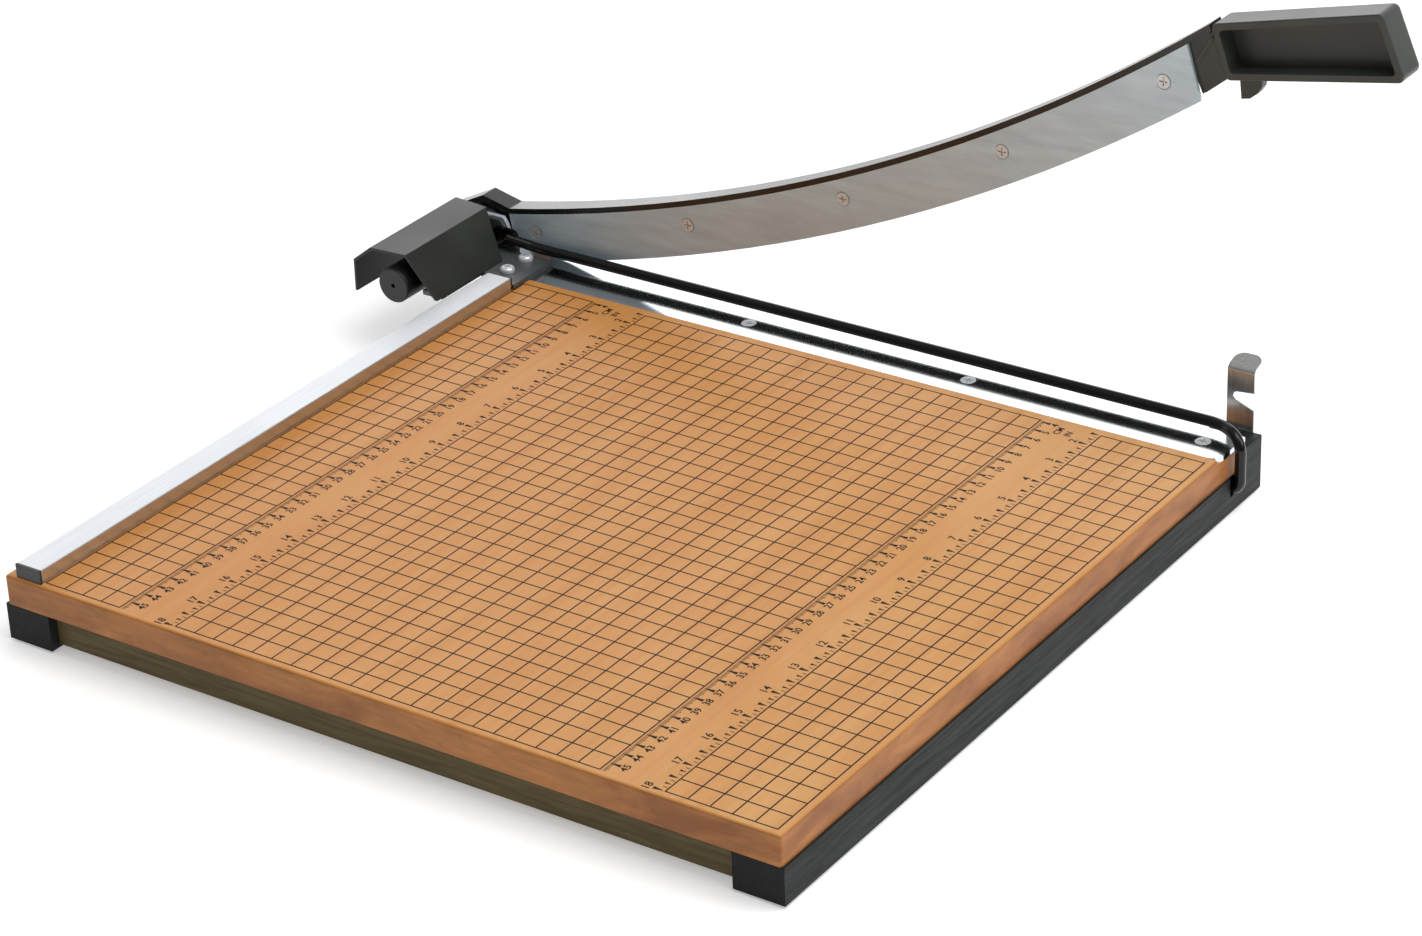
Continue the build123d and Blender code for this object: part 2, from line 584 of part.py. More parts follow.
def inset_quad(points, inset):
    """A four-sided outline moved inwards by the same distance on each side."""
    face = make_face(Polyline([(y, z) for y, z in points], close=True))
    inner = offset(face, amount=-inset, kind=Kind.INTERSECTION)
    corners = [tuple(vertex.center())[:2] for vertex in inner.vertices()]
    middle = [sum(values) / len(corners) for values in zip(*corners)]
    return sorted(corners, key=lambda corner: math.atan2(corner[1] - middle[1], corner[0] - middle[0]))


def make_handle():
    """Moulded handle, hollow on its inner side, with a lug each side of the arm's web."""
    outline = HANDLE_TOP + HANDLE_BOTTOM
    back_x = CUT_X + HANDLE_DEPTH
    handle = plate_yz(outline, CUT_X, back_x)
    handle = fillet(handle.edges().filter_by(Axis.X), 3.6)
    handle = fillet(handle.edges().group_by(Axis.X)[-1], 4.5)
    handle = fillet(handle.edges().group_by(Axis.X)[0], 0.8)
    cavity = plate_yz(inset_quad(outline, HANDLE_WALL), CUT_X - 1, CUT_X + HANDLE_HOLLOW)
    handle -= fillet(cavity.edges().filter_by(Axis.X), 2.0)
    lug = [(-208.5, 252.0), (-218.6, 269.8), (-229.0, 248.0), (-214.6, 236.2)]
    inner_lug = plate_yz(lug, CUT_X + 0.9, WEB_X - 0.02)
    outer_lug = plate_yz(lug, WEB_OUTER_X + 0.02, WEB_OUTER_X + 3.5)
    rib = plate_yz([(-208.4, 252.6), (-217.4, 268.6), (-218.8, 267.8), (-209.8, 251.8)],
                   CUT_X + 0.1, CUT_X + 1.5)
    handle += inner_lug + outer_lug + rib
    handle -= plate_yz([(-205.0, 250.0), (-205.0, 280.0), (-217.5, 272.1), (-225.7, 246.3), (-212.3, 234.5)],
                       WEB_X - 0.02, WEB_OUTER_X + 0.02)
    hook = [(-231.8, 249.0), (-233.2, 234.9), (-238.2, 236.0), (-242.6, 239.6),
            (-245.0, 243.5), (-245.4, 251.0)]
    handle += plate_yz(hook, CUT_X + 5.5, CUT_X + 11.0)
    for y, z in LUG_SCREW_PLACES:
        handle -= rod_x(y, z, 1.6, WEB_X - 1.0, WEB_OUTER_X + 5)
    return handle


def make_handle_screws():
    screw = Rot(0, 90, 0) * pan_screw(3.0, 1.8, 1.5, 8.0)
    return [Pos(WEB_OUTER_X + 3.5, y, z) * screw for y, z in LUG_SCREW_PLACES]


# ---- latch ----
CLIP_X = RUNNER_END_X + 0.2
CLIP_BACK_Y = CLIP_FRONT_Y + CLIP_WIDTH
CLIP_ROOT_RADIUS = CLIP_THICK / 2
CLIP_ROOT_X = CLIP_X + CLIP_ROOT_RADIUS
CLIP_ROOT_Z = RUNNER_END_TOP + 0.05 + CLIP_ROOT_RADIUS
CLIP_SCREW_YS = (CLIP_FRONT_Y + 4.2, CLIP_BACK_Y - 4.2)
CLIP_SCREW_Z = 18.0
NOTCH_Y, NOTCH_Z, NOTCH_RADIUS = -229.6, 53.4, 2.9


def make_clip_foot():
    """The clip's lower end, screwed to the end of the front runner."""
    foot = block(RUNNER_END_X, RUNNER_END_X + CLIP_THICK + 0.2, CLIP_FRONT_Y, CLIP_BACK_Y,
                 8.0, RUNNER_END_TOP)
    for y in CLIP_SCREW_YS:
        foot -= rod_x(y, CLIP_SCREW_Z, 1.8, RUNNER_END_X - 1, RUNNER_END_X + 3)
    return foot


def make_clip_screws():
    screw = Rot(0, 90, 0) * pan_screw(3.4, 2.0, 1.6, 13.0)
    return [Pos(RUNNER_END_X + CLIP_THICK + 0.2, y, CLIP_SCREW_Z) * screw for y in CLIP_SCREW_YS]


def make_latch_clip():
    """Upright leaf with a rounded root that it flexes about, a hooked notch and a thumb tongue."""
    leaf = block(CLIP_X, CLIP_X + CLIP_THICK, CLIP_FRONT_Y, CLIP_BACK_Y, CLIP_ROOT_Z, CLIP_TOP_Z)
    leaf += rod_y(CLIP_ROOT_X, CLIP_ROOT_Z, CLIP_ROOT_RADIUS, CLIP_FRONT_Y, CLIP_BACK_Y)
    hook = [(NOTCH_Y, NOTCH_Z + NOTCH_RADIUS), (CLIP_FRONT_Y - 1, 57.4), (CLIP_FRONT_Y - 1, 46.0),
            (NOTCH_Y + 0.9, NOTCH_Z - 2.75)]
    leaf -= plate_yz(hook, CLIP_X - 1, CLIP_X + 2)
    leaf -= rod_x(NOTCH_Y, NOTCH_Z, NOTCH_RADIUS, CLIP_X - 1, CLIP_X + 2)
    middle = Pos(CLIP_X + CLIP_BEND_RADIUS, 0, CLIP_TOP_Z)
    bend = rod_y(0, 0, CLIP_BEND_RADIUS, CLIP_FRONT_Y, CLIP_BACK_Y)
    bend -= rod_y(0, 0, CLIP_BEND_RADIUS - CLIP_THICK, CLIP_FRONT_Y - 1, CLIP_BACK_Y + 1)
    turned = Rot(0, -CLIP_TONGUE_RISE, 0)
    bend &= block(-10, 0, CLIP_FRONT_Y, CLIP_BACK_Y, 0, 10) & (turned * block(-10, 0, -300, 0, -10, 10))
    under = CLIP_BEND_RADIUS - CLIP_THICK
    tongue = block(0, CLIP_TONGUE_REACH, CLIP_FRONT_Y, CLIP_BACK_Y, under, CLIP_BEND_RADIUS)
    tongue = fillet(tongue.edges().filter_by(Axis.Z).group_by(Axis.X)[-1], CLIP_TONGUE_CORNER)
    return leaf + middle * bend + middle * turned * tongue


# ---- write every piece ----
def write(name, shape):
    """Write one solid, or a group of separate solids, as one STEP file."""
    if isinstance(shape, list):
        shape = Compound(children=[Part(piece.wrapped) for piece in shape])
    export_step(shape, os.path.join("parts", name + ".step"))


PIECES = {
    "board": make_board,
    "front_runner": make_front_runner,
    "rear_runner": make_rear_runner,
    "left_apron": lambda: make_apron(-1),
    "right_apron": lambda: make_apron(1),
    "rubber_feet": make_feet,
    "runner_screws": make_runner_screws,
    "bed_strip": make_bed_strip,
    "strip_screws": make_strip_screws,
    "fence": make_fence,
    "fence_plugs": make_fence_plugs,
    "fence_nuts": make_fence_nuts,
    "fence_screws": make_fence_screws,
    "guard_rail": make_guard_rail,
    "rail_rivet": make_rail_rivet,
    "hinge_bracket": make_hinge_bracket,
    "bracket_screws": make_bracket_screws,
    "hood": make_hood,
    "hood_screws": make_hood_screws,
    "pivot_bushing": make_pivot_bushing,
    "thrust_washer": make_thrust_washer,
    "spring_housing": make_spring_housing,
    "tension_spring": make_tension_spring,
    "spring_seat": make_spring_seat,
    "tension_nut": make_tension_nut,
    "tension_cap": make_tension_cap,
    "pivot_bolt": make_pivot_bolt,
    "arm": make_arm,
    "blade": make_blade,
    "blade_screws": make_blade_screws,
    "catch_stud": make_catch_stud,
    "handle": make_handle,
    "handle_screws": make_handle_screws,
    "clip_foot": make_clip_foot,
    "clip_screws": make_clip_screws,
    "latch_clip": make_latch_clip,
}

os.makedirs("parts", exist_ok=True)
for name, make in PIECES.items():
    write(name, make())
    print("wrote", name)
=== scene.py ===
import json
import math

import bmesh
import bpy
from mathutils import Euler, Matrix, Vector


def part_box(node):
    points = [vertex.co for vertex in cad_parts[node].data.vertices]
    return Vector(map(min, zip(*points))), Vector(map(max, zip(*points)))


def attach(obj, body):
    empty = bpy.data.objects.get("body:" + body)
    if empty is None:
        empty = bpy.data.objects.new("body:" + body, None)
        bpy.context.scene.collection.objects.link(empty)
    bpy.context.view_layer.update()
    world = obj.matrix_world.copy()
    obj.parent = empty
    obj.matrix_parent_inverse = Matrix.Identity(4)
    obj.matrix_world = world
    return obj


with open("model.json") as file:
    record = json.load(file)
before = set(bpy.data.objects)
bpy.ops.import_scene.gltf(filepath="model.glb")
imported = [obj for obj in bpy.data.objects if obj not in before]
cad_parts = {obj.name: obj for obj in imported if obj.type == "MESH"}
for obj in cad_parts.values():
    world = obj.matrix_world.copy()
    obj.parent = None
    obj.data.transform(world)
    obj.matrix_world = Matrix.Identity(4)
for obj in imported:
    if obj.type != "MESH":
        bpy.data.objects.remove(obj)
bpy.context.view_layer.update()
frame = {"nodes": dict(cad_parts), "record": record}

# Looks of a guillotine paper cutter. Lengths are in metres in the frame of the CAD:
# +X to the blade side, +Y away from the user, +Z up, with the table at z = 0.
MM = 0.001
INCH = 0.0254
nodes = frame["nodes"]
scene = bpy.context.scene


# ---- camera ----
# It stands out at the front left and looks down at the cutter. Angles are in degrees: azimuth
# from +Y toward +X, elevation as how far it looks down, roll about its own axis.
CAMERA_PLACE = (-1.5091, -1.1192, 1.0542)
CAMERA_AZIMUTH = 54.69
CAMERA_ELEVATION = 27.88
CAMERA_ROLL = -2.45
LENS = 101.03
SENSOR_WIDTH = 36.0


def make_camera():
    """The scene's camera, aimed by its azimuth, elevation and roll."""
    data = bpy.data.cameras.new("camera")
    data.lens = LENS
    data.sensor_width = SENSOR_WIDTH
    data.clip_start = 0.05
    data.clip_end = 60.0
    camera = bpy.data.objects.new("camera", data)
    scene.collection.objects.link(camera)
    turn = Euler((math.radians(90 - CAMERA_ELEVATION), 0, -math.radians(CAMERA_AZIMUTH)), "XYZ").to_matrix()
    roll = Euler((0, 0, math.radians(CAMERA_ROLL)), "XYZ").to_matrix()
    camera.rotation_euler = (turn @ roll).to_euler()
    camera.location = CAMERA_PLACE
    scene.camera = camera


# ---- node material helpers ----
def tone(red, green, blue):
    """A linear colour from display values of 0 to 255."""
    def linear(value):
        value = value / 255
        return value / 12.92 if value <= 0.04045 else ((value + 0.055) / 1.055) ** 2.4
    return (linear(red), linear(green), linear(blue), 1.0)


def new_material(name, **sockets):
    """A material and its shader, with even values set on the shader's own sockets."""
    material = bpy.data.materials.new(name)
    material.use_nodes = True
    shader = material.node_tree.nodes["Principled BSDF"]
    for socket, value in sockets.items():
        shader.inputs[socket.replace("_", " ")].default_value = value
    return material, material.node_tree, shader


def add(tree, kind, inputs=(), **settings):
    """A shader node with its settings, and its inputs fed from values or other nodes."""
    made = tree.nodes.new("ShaderNode" + kind)
    for key, value in settings.items():
        setattr(made, key, value)
    for key, value in dict(inputs).items():
        if isinstance(value, bpy.types.NodeSocket):
            tree.links.new(value, made.inputs[key])
        else:
            made.inputs[key].default_value = value
    return made


def place(tree, stretch=(1, 1, 1)):
    """The piece's own coordinates in metres, stretched along each axis."""
    here = add(tree, "TexCoord").outputs["Object"]
    return add(tree, "Mapping", {"Vector": here, "Scale": stretch}).outputs["Vector"]


def noise(tree, scale, stretch=(1, 1, 1), detail=4.0, rough=0.55, distortion=0.0):
    """Smooth noise from 0 to 1 over the piece; scale is in cells to the metre."""
    inputs = {"Vector": place(tree, stretch), "Scale": scale, "Detail": detail,
              "Roughness": rough, "Distortion": distortion}
    return add(tree, "TexNoise", inputs).outputs["Fac"]


def remap(tree, value, low, high, to_low=0.0, to_high=1.0):
    """A value carried from one range to another and held inside it."""
    inputs = {"Value": value, "From Min": low, "From Max": high, "To Min": to_low, "To Max": to_high}
    return add(tree, "MapRange", inputs).outputs["Result"]


# The Mix node's sockets for colours, by number, since its other kinds share their names.
MIX_FACTOR = 0
MIX_FIRST = 6
MIX_SECOND = 7
MIX_RESULT = 2


def blend(tree, factor, first, second):
    """First colour where the factor is 0, second where it is 1."""
    made = tree.nodes.new("ShaderNodeMix")
    made.data_type = "RGBA"
    for key, value in ((MIX_FACTOR, factor), (MIX_FIRST, first), (MIX_SECOND, second)):
        if isinstance(value, bpy.types.NodeSocket):
            tree.links.new(value, made.inputs[key])
        else:
            made.inputs[key].default_value = value
    return made.outputs[MIX_RESULT]


def combine(tree, kind, first, second):
    """One of the Math node's operations on two values."""
    return add(tree, "Math", {0: first, 1: second}, operation=kind).outputs[0]


def axis_of(tree, output, axis):
    """One axis of the surface's normal or of the piece's own coordinates."""
    source = add(tree, "NewGeometry").outputs["Normal"] if output == "Normal" else place(tree)
    return add(tree, "SeparateXYZ", {"Vector": source}).outputs[axis]


def finish_surface(tree, shader, colour, roughness, height, strength, depth, edge=0.0):
    """Feed colour, roughness and relief to the shader; edge rounds sharp corners by that radius."""
    tree.links.new(colour, shader.inputs["Base Color"])
    tree.links.new(roughness, shader.inputs["Roughness"])
    inputs = {"Height": height, "Strength": strength, "Distance": depth}
    if edge:
        inputs["Normal"] = add(tree, "Bevel", {"Radius": edge}, samples=4).outputs["Normal"]
    relief = add(tree, "Bump", inputs)
    tree.links.new(relief.outputs["Normal"], shader.inputs["Normal"])


# ---- wood ----
def board_wood():
    """Printed tan laminate on top, reddish stained edges with darker figure."""
    material, tree, shader = new_material("board_wood", Metallic=0.0, Specular_IOR_Level=0.3)
    up = remap(tree, axis_of(tree, "Normal", "Z"), 0.5, 0.9)
    figure = noise(tree, 9.0, (0.35, 1.6, 1.0), 5.0, 0.6, 1.6)
    grain = noise(tree, 160.0, (0.06, 1.0, 1.0), 3.0)
    top = blend(tree, remap(tree, figure, 0.3, 0.7), tone(202, 140, 72), tone(211, 155, 90))
    top = blend(tree, remap(tree, grain, 0.45, 0.75, 0.0, 0.35), top, tone(186, 120, 60))
    # Painted sheen: the top turns deeper orange toward the back and stays paler at the front, standing in
    # for the front's reflection of the bright surroundings.
    painted_sheen_fade = remap(tree, axis_of(tree, "Object", "Y"), -0.2, 0.23)
    top = blend(tree, combine(tree, "MULTIPLY", painted_sheen_fade, 0.45), top, tone(208, 130, 50))
    blotch = noise(tree, 16.0, (1.0, 1.0, 2.4), 5.0, 0.6, 0.8)
    streak = noise(tree, 60.0, (0.5, 0.5, 4.0), 4.0, 0.6, 0.3)
    side = blend(tree, remap(tree, blotch, 0.35, 0.68), tone(186, 122, 62), tone(144, 84, 38))
    side = blend(tree, remap(tree, streak, 0.4, 0.75, 0.0, 0.45), side, tone(110, 72, 38))
    colour = blend(tree, up, side, top)
    roughness = remap(tree, grain, 0.3, 0.8, 0.36, 0.5)
    finish_surface(tree, shader, colour, roughness, grain, 0.06, 0.2 * MM)
    return material


def stained_wood(name, dark, light, end, direction, edge=0.4 * MM):
    """Open-grained wood under a thin stain, the grain along one axis and the end faces darker: end grain,
    with painted shade where those faces turn from the light.
    """
    material, tree, shader = new_material(name, Metallic=0.0, Specular_IOR_Level=0.2)
    stretch = (0.05, 1, 1) if direction == "X" else (1, 0.05, 1)
    pores = noise(tree, 420.0, stretch, 5.0, 0.65, 0.4)
    cloud = noise(tree, 22.0, stretch, 3.0, 0.5, 0.8)
    shade = combine(tree, "MULTIPLY", remap(tree, pores, 0.35, 0.7), remap(tree, cloud, 0.2, 0.8, 0.5, 1.0))
    colour = blend(tree, shade, dark, light)
    along = axis_of(tree, "Normal", direction)
    # End faces darker: partly end grain, partly painted shade for the faces turned away from the lamps.
    end_grain_and_painted_shade = remap(tree, combine(tree, "MULTIPLY", along, along), 0.5, 0.9)
    colour = blend(tree, end_grain_and_painted_shade, colour, end)
    roughness = remap(tree, pores, 0.3, 0.8, 0.62, 0.42)
    finish_surface(tree, shader, colour, roughness, pores, 0.35, 0.3 * MM, edge)
    return material


def black_wood():
    # The third colour darkens the end faces: end grain and painted shade on the faces turned from the
    # light.
    return stained_wood("black_wood", tone(24, 27, 27), tone(50, 55, 52), tone(9, 10, 10), "X")


def apron_wood():
    return stained_wood("apron_wood", tone(80, 68, 42), tone(112, 98, 64), tone(58, 48, 32), "Y")


# ---- metals ----
def brushed_metal(name, low, high, roughness, stretch, scale=700.0, strength=0.08, edge=0.3 * MM,
                  **sockets):
    """Bare metal with fine brushing; a small factor in stretch is the brushing's direction."""
    material, tree, shader = new_material(name, **{"Metallic": 1.0, **sockets})
    brushing = noise(tree, scale, stretch, 4.0, 0.6)
    cloud = noise(tree, 14.0, (1, 1, 1), 3.0)
    colour = blend(tree, remap(tree, brushing, 0.3, 0.7), low, high)
    spread = remap(tree, combine(tree, "ADD", brushing, cloud), 0.7, 1.3, roughness[0], roughness[1])
    finish_surface(tree, shader, colour, spread, brushing, strength, 0.1 * MM, edge)
    return material


def zinc_steel():
    return brushed_metal("zinc_steel", tone(218, 222, 224), tone(238, 241, 242), (0.18, 0.3),
                         (1, 1, 1), scale=900.0, strength=0.1, edge=0.15 * MM, Metallic=0.4)


def bed_steel():
    """Ground and polished strip, mirror-like along its length."""
    return brushed_metal("bed_steel", tone(206, 212, 216), tone(232, 236, 238), (0.1, 0.13),
                         (1.0, 0.02, 1.0), scale=900.0, strength=0.0, edge=0.2 * MM)


def fence_aluminium():
    return brushed_metal("fence_aluminium", tone(196, 199, 203), tone(214, 217, 220), (0.3, 0.42),
                         (0.02, 1.0, 1.0), scale=900.0, strength=0.08, edge=0.3 * MM)


def spring_steel():
    return brushed_metal("spring_steel", tone(120, 122, 124), tone(156, 158, 158), (0.3, 0.45), (1, 1, 1))


def blade_steel():
    """Surface-ground blade, brushed along its length."""
    return brushed_metal("blade_steel", tone(190, 206, 215), tone(208, 224, 232), (0.3, 0.42),
                         (1.0, 0.03, 0.2), scale=900.0, strength=0.1, edge=0.2 * MM,
                         Metallic=0.22, Coat_Weight=0.25, Coat_Roughness=0.12)


def clip_nickel():
    return brushed_metal("clip_nickel", tone(184, 186, 184), tone(208, 210, 207), (0.16, 0.26),
                         (1.0, 1.0, 0.05), scale=800.0, strength=0.06, edge=0.15 * MM, Metallic=0.85)


# ---- paint, plastic and rubber ----
def coated(name, dark, light, roughness, scale, strength, edge=0.4 * MM, **sockets):
    """Paint or moulded plastic: fine mottling, slightly uneven gloss, low relief."""
    material, tree, shader = new_material(name, Metallic=0.0, **sockets)
    fine = noise(tree, scale, (1, 1, 1), 3.0, 0.5)
    wide = noise(tree, 25.0, (1, 1, 1), 3.0, 0.5)
    colour = blend(tree, remap(tree, wide, 0.3, 0.7), dark, light)
    spread = remap(tree, combine(tree, "ADD", fine, wide), 0.7, 1.3, roughness[0], roughness[1])
    finish_surface(tree, shader, colour, spread, fine, strength, 0.1 * MM, edge)
    return material


def rail_paint():
    return coated("rail_paint", tone(5, 5, 6), tone(11, 11, 12), (0.12, 0.22),
                  scale=600.0, strength=0.05, edge=0.0,
                  Specular_IOR_Level=0.2, Coat_Weight=0.35, Coat_Roughness=0.05)


def bracket_steel():
    return coated("bracket_steel", tone(62, 65, 66), tone(84, 88, 88), (0.3, 0.42),
                  scale=1500.0, strength=0.12, edge=0.4 * MM,
                  Specular_IOR_Level=0.8)


def hood_paint():
    return coated("hood_paint", tone(25, 28, 24), tone(34, 38, 33), (0.36, 0.46),
                  scale=1400.0, strength=0.16, edge=0.5 * MM,
                  Specular_IOR_Level=0.4)


def arm_paint():
    return coated("arm_paint", tone(16, 18, 17), tone(28, 31, 28), (0.22, 0.32),
                  scale=1200.0, strength=0.08, edge=0.5 * MM,
                  Coat_Weight=0.3, Coat_Roughness=0.12)


def handle_plastic():
    return coated("handle_plastic", tone(52, 55, 51), tone(64, 67, 62), (0.34, 0.44),
                  scale=1600.0, strength=0.14, edge=0.6 * MM)


def cap_plastic():
    return coated("cap_plastic", tone(20, 20, 20), tone(30, 30, 30), (0.4, 0.52),
                  scale=1600.0, strength=0.14, edge=0.4 * MM)


def plug_plastic():
    return coated("plug_plastic", tone(20, 20, 21), tone(32, 32, 33), (0.3, 0.4),
                  scale=1400.0, strength=0.1, edge=0.3 * MM)


def foot_rubber():
    return coated("foot_rubber", tone(24, 24, 24), tone(36, 36, 36), (0.7, 0.85),
                  scale=1000.0, strength=0.25, edge=0.3 * MM)


def white_nylon():
    return coated("white_nylon", tone(206, 212, 226), tone(226, 230, 238), (0.34, 0.44),
                  scale=900.0, strength=0.06, edge=0.3 * MM,
                  Subsurface_Weight=0.1, Subsurface_Scale=0.001)


def print_ink():
    """The near-black brown ink of the grid and rulers."""
    return coated("print_ink", tone(9, 5, 4), tone(16, 9, 7), (0.5, 0.6),
                  scale=1200.0, strength=0.1, edge=0.0,
                  Specular_IOR_Level=0.2)


SLOT_MATERIALS = (board_wood, black_wood, apron_wood, foot_rubber, zinc_steel, bed_steel, fence_aluminium,
                  plug_plastic, rail_paint, bracket_steel, hood_paint, white_nylon, spring_steel,
                  cap_plastic, arm_paint, blade_steel, handle_plastic, clip_nickel)


def dress_nodes():
    """Give every CAD node the material of its slot in the record."""
    materials = {make.__name__: make() for make in SLOT_MATERIALS}
    slots = {part["node"]: part["material_slot"] for part in frame["record"]["subparts"]}
    for name, piece in nodes.items():
        piece.data.materials.clear()
        piece.data.materials.append(materials[slots[name]])


# ---- printed grid and rulers ----
# The scales and the grid count from the cutting edge toward -X. BLOCK_TOPS and RULER_TOPS are the Y
# of the line each block of squares, or each centimetre scale, hangs from.
BLADE_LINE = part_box("blade")[0].x
SQUARE = INCH / 2
FIRST_INCH = 1.5
LAST_INCH = 18
LINE_HALF = 0.4 * MM
INK_LIFT = 0.02 * MM
INK_THICK = 0.03 * MM
BLOCK_TOPS = (218.2 * MM, 129.3 * MM, -175.5 * MM)
BLOCK_SQUARES = (4, 21, 5)
RULER_TOPS = (167.4 * MM, -137.4 * MM)
RULER_WIDTH = 1.5 * INCH
HAIR_HALF = 0.17 * MM
TICK_HALF = 0.2 * MM
POINT_HALF = 0.22 * MM
QUARTER_HALF = 0.75 * MM
WEDGE_HALF = 1.15 * MM
CM_NUMERAL_SIZE = 6.0 * MM
INCH_NUMERAL_SIZE = 6.4 * MM
UNIT_SIZE = 5.6 * MM
CM_NUMERAL_DROP = 10.2 * MM
INCH_NUMERAL_RISE = 10.4 * MM
LETTER_BOLD = 0.1 * MM
CM_LABEL_X = 187.3 * MM
CM_LABEL_DROP = 15.3 * MM
INCH_LABEL_X = 186.6 * MM
INCH_LABEL_DROP = 21.7 * MM


def new_piece(name, mesh, material, body):
    """A finished mesh as a piece that rides on a body."""
    piece = bpy.data.objects.new(name, mesh)
    scene.collection.objects.link(piece)
    mesh.materials.clear()
    mesh.materials.append(material)
    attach(piece, body)
    return piece


def thicken(work, faces, up):
    """Extrude flat faces upwards into a closed film."""
    grown = bmesh.ops.extrude_face_region(work, geom=faces)["geom"]
    corners = [item for item in grown if isinstance(item, bmesh.types.BMVert)]
    bmesh.ops.translate(work, vec=(0, 0, up), verts=corners)


def lattice(work, columns, rows, level):
    """Line bands along both axes that share their corners, like a printed grid."""
    xs = sorted(value for column in columns for value in (column - LINE_HALF, column + LINE_HALF))
    ys = sorted(value for row in rows for value in (row - LINE_HALF, row + LINE_HALF))
    corners = [[work.verts.new((x, y, level)) for y in ys] for x in xs]
    faces = []
    for i in range(len(xs) - 1):
        for j in range(len(ys) - 1):
            if i % 2 == 0 or j % 2 == 0:
                faces.append(work.faces.new((corners[i][j], corners[i + 1][j],
                                             corners[i + 1][j + 1], corners[i][j + 1])))
    thicken(work, faces, INK_THICK)


def make_grid(ink):
    """Half-inch squares, measured from the cutting edge, in three blocks."""
    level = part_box("board")[1].z + INK_LIFT
    steps = round((LAST_INCH - FIRST_INCH) * 2)
    columns = [BLADE_LINE - FIRST_INCH * INCH - SQUARE * i for i in range(steps + 1)]
    work = bmesh.new()
    for top, squares in zip(BLOCK_TOPS, BLOCK_SQUARES):
        lattice(work, columns, [top - SQUARE * j for j in range(squares + 1)], level)
    bmesh.ops.recalc_face_normals(work, faces=work.faces)
    mesh = bpy.data.meshes.new("grid_print")
    work.to_mesh(mesh)
    new_piece("grid_print", mesh, ink, "base")


def mark(work, x, start, end, thin, thick, level):
    """One ruler mark from start to end along Y, thin at its start and thick at its end."""
    outline = ((x - thin, start), (x + thin, start), (x + thick, end), (x - thick, end))
    face = work.faces.new([work.verts.new((u, v, level)) for u, v in outline])
    thicken(work, [face], INK_THICK)


def centimetre_marks(work, line, level):
    """Millimetre ticks, with a wedge at each centimetre, hanging from the line."""
    for tick in range(39, 458):
        x = BLADE_LINE - tick * MM
        if tick % 10 == 0:
            mark(work, x, line - 1.2 * MM, line - 7.2 * MM, POINT_HALF, WEDGE_HALF, level)
        elif tick % 5 == 0:
            mark(work, x, line - 1.3 * MM, line - 4.2 * MM, TICK_HALF, TICK_HALF, level)
        else:
            mark(work, x, line - 1.3 * MM, line - 3.5 * MM, HAIR_HALF, HAIR_HALF, level)


def inch_marks(work, line, level):
    """Eighth-inch ticks, with wedges at the quarters, halves and inches, standing on the line."""
    for eighth in range(12, 145):
        x = BLADE_LINE - eighth * INCH / 8
        if eighth % 4 == 0:
            reach = 7.0 * MM if eighth % 8 == 0 else 6.4 * MM
            mark(work, x, line + 1.6 * MM, line + reach, POINT_HALF, WEDGE_HALF, level)
        elif eighth % 2 == 0:
            mark(work, x, line + 1.2 * MM, line + 4.6 * MM, TICK_HALF, QUARTER_HALF, level)
        else:
            mark(work, x, line + 1.0 * MM, line + 3.4 * MM, POINT_HALF, POINT_HALF, level)


def make_ruler_marks(ink):
    """The marks of both pairs of rulers as one piece."""
    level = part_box("board")[1].z + INK_LIFT
    work = bmesh.new()
    for line in RULER_TOPS:
        centimetre_marks(work, line, level)
        inch_marks(work, line - RULER_WIDTH, level)
    bmesh.ops.recalc_face_normals(work, faces=work.faces)
    mesh = bpy.data.meshes.new("ruler_marks")
    work.to_mesh(mesh)
    new_piece("ruler_marks", mesh, ink, "base")


def lettering(work, text, x, y, size, level):
    """Flat characters centred on a point, read along +X, added to a mesh in the making."""
    curve = bpy.data.curves.new("lettering", "FONT")
    curve.body = text
    curve.size = size
    curve.align_x = "CENTER"
    curve.align_y = "CENTER"
    curve.resolution_u = 3
    curve.extrude = INK_THICK / 2
    curve.offset = LETTER_BOLD
    shape = bpy.data.objects.new("lettering", curve)
    mesh = bpy.data.meshes.new_from_object(shape)
    mesh.transform(Matrix.Translation((x, y, level + INK_THICK / 2)))
    work.from_mesh(mesh)
    bpy.data.meshes.remove(mesh)
    bpy.data.objects.remove(shape)
    bpy.data.curves.remove(curve)


def make_numerals(ink):
    """Ruler numerals along both scales, and the two unit labels."""
    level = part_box("board")[1].z + INK_LIFT
    work = bmesh.new()
    for line in RULER_TOPS:
        for number in range(4, 46):
            lettering(work, str(number), BLADE_LINE - number * 10 * MM, line - CM_NUMERAL_DROP,
                      CM_NUMERAL_SIZE, level)
        for number in range(2, 19):
            lettering(work, str(number), BLADE_LINE - number * INCH,
                      line - RULER_WIDTH + INCH_NUMERAL_RISE, INCH_NUMERAL_SIZE, level)
        lettering(work, "CM", CM_LABEL_X, line - CM_LABEL_DROP, UNIT_SIZE, level)
        lettering(work, "IN", INCH_LABEL_X, line - INCH_LABEL_DROP, UNIT_SIZE, level)
    mesh = bpy.data.meshes.new("ruler_numerals")
    work.to_mesh(mesh)
    new_piece("ruler_numerals", mesh, ink, "base")


# ---- floor and light ----
FLOOR_HALF = 9.0
FLOOR_GLOW = 0.35


def make_floor():
    """A wide pale table."""
    work = bmesh.new()
    bmesh.ops.create_grid(work, x_segments=8, y_segments=8, size=FLOOR_HALF)
    mesh = bpy.data.meshes.new("floor")
    work.to_mesh(mesh)
    floor = bpy.data.objects.new("floor", mesh)
    scene.collection.objects.link(floor)
    material, tree, shader = new_material("floor", Roughness=0.9, Specular_IOR_Level=0.1,
                                          Emission_Color=(1, 1, 1, 1), Emission_Strength=FLOOR_GLOW)
    cloud = noise(tree, 3.0)
    colour = blend(tree, cloud, (0.93, 0.93, 0.93, 1), (0.95, 0.95, 0.95, 1))
    tree.links.new(colour, shader.inputs["Base Color"])
    mesh.materials.append(material)


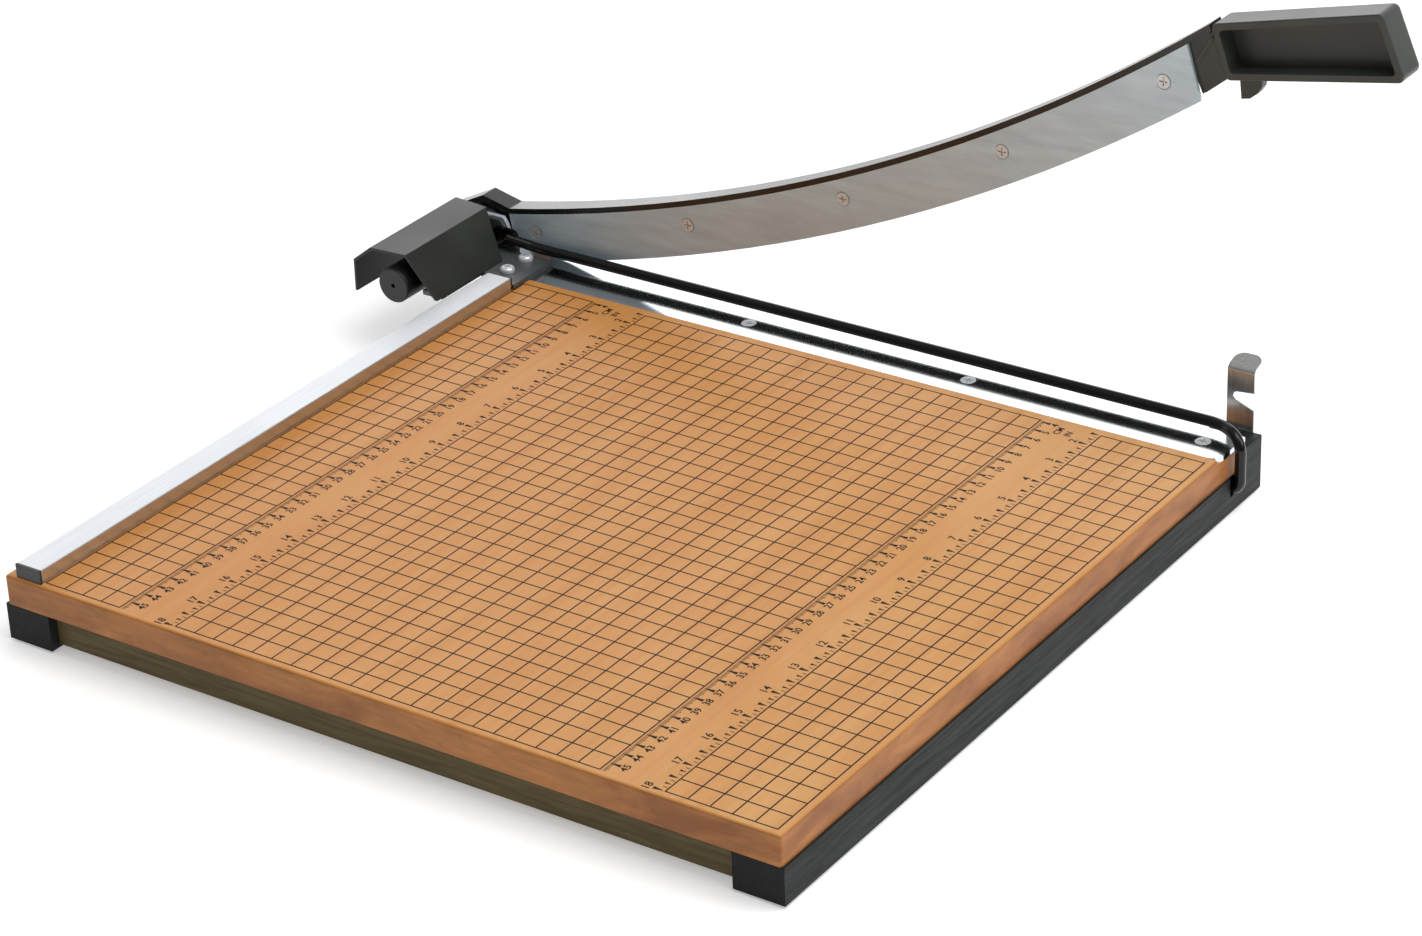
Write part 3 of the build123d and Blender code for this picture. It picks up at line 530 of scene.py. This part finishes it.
# Glow of the world: everywhere, low behind the object as the camera sees it, and overhead.
BACKDROP_AZIMUTH = 50.0
BASE_GLOW = 0.2
BACKDROP_GLOW = 1.9
TOP_GLOW = 0.25


def make_surroundings():
    """A studio of soft light: a bright backdrop beyond the object, dim walls and ceiling."""
    world = bpy.data.worlds.new("studio")
    world.use_nodes = True
    tree = world.node_tree
    scene.world = world
    toward = add(tree, "TexCoord").outputs["Generated"]
    turn = math.radians(BACKDROP_AZIMUTH)
    aim = Vector((math.sin(turn), math.cos(turn), 0.0))
    facing = add(tree, "VectorMath", {0: toward, 1: aim}, operation="DOT_PRODUCT").outputs["Value"]
    height = add(tree, "SeparateXYZ", {"Vector": toward}).outputs["Z"]
    near = remap(tree, facing, 0.35, 0.85)
    low = remap(tree, height, 0.68, 0.4)
    backdrop = combine(tree, "MULTIPLY", combine(tree, "MULTIPLY", near, low), BACKDROP_GLOW)
    ceiling = combine(tree, "MULTIPLY", remap(tree, height, 0.35, 0.9), TOP_GLOW)
    glow = combine(tree, "ADD", combine(tree, "ADD", backdrop, ceiling), BASE_GLOW)
    background = tree.nodes["Background"]
    background.inputs["Color"].default_value = (1, 1, 1, 1)
    tree.links.new(glow, background.inputs["Strength"])


def soft_light(name, place_at, aim_at, width, height, power):
    """A rectangular lamp, with its sides in metres and its power in watts."""
    data = bpy.data.lights.new(name, "AREA")
    data.shape = "RECTANGLE"
    data.size = width
    data.size_y = height
    data.energy = power
    light = bpy.data.objects.new(name, data)
    scene.collection.objects.link(light)
    light.location = place_at
    light.rotation_euler = (Vector(aim_at) - Vector(place_at)).to_track_quat("-Z", "Y").to_euler()


LIGHT_AIM = (0.0, 0.0, 0.05)

make_camera()
make_floor()
make_surroundings()
soft_light("front_light", (0.9, -2.4, 1.5), LIGHT_AIM, width=1.6, height=1.2, power=20.0)
soft_light("top_light", (0.1, -0.8, 2.2), LIGHT_AIM, width=1.6, height=1.6, power=26.0)
scene.view_settings.view_transform = "Standard"
dress_nodes()
ink = print_ink()
make_grid(ink)
make_ruler_marks(ink)
make_numerals(ink)
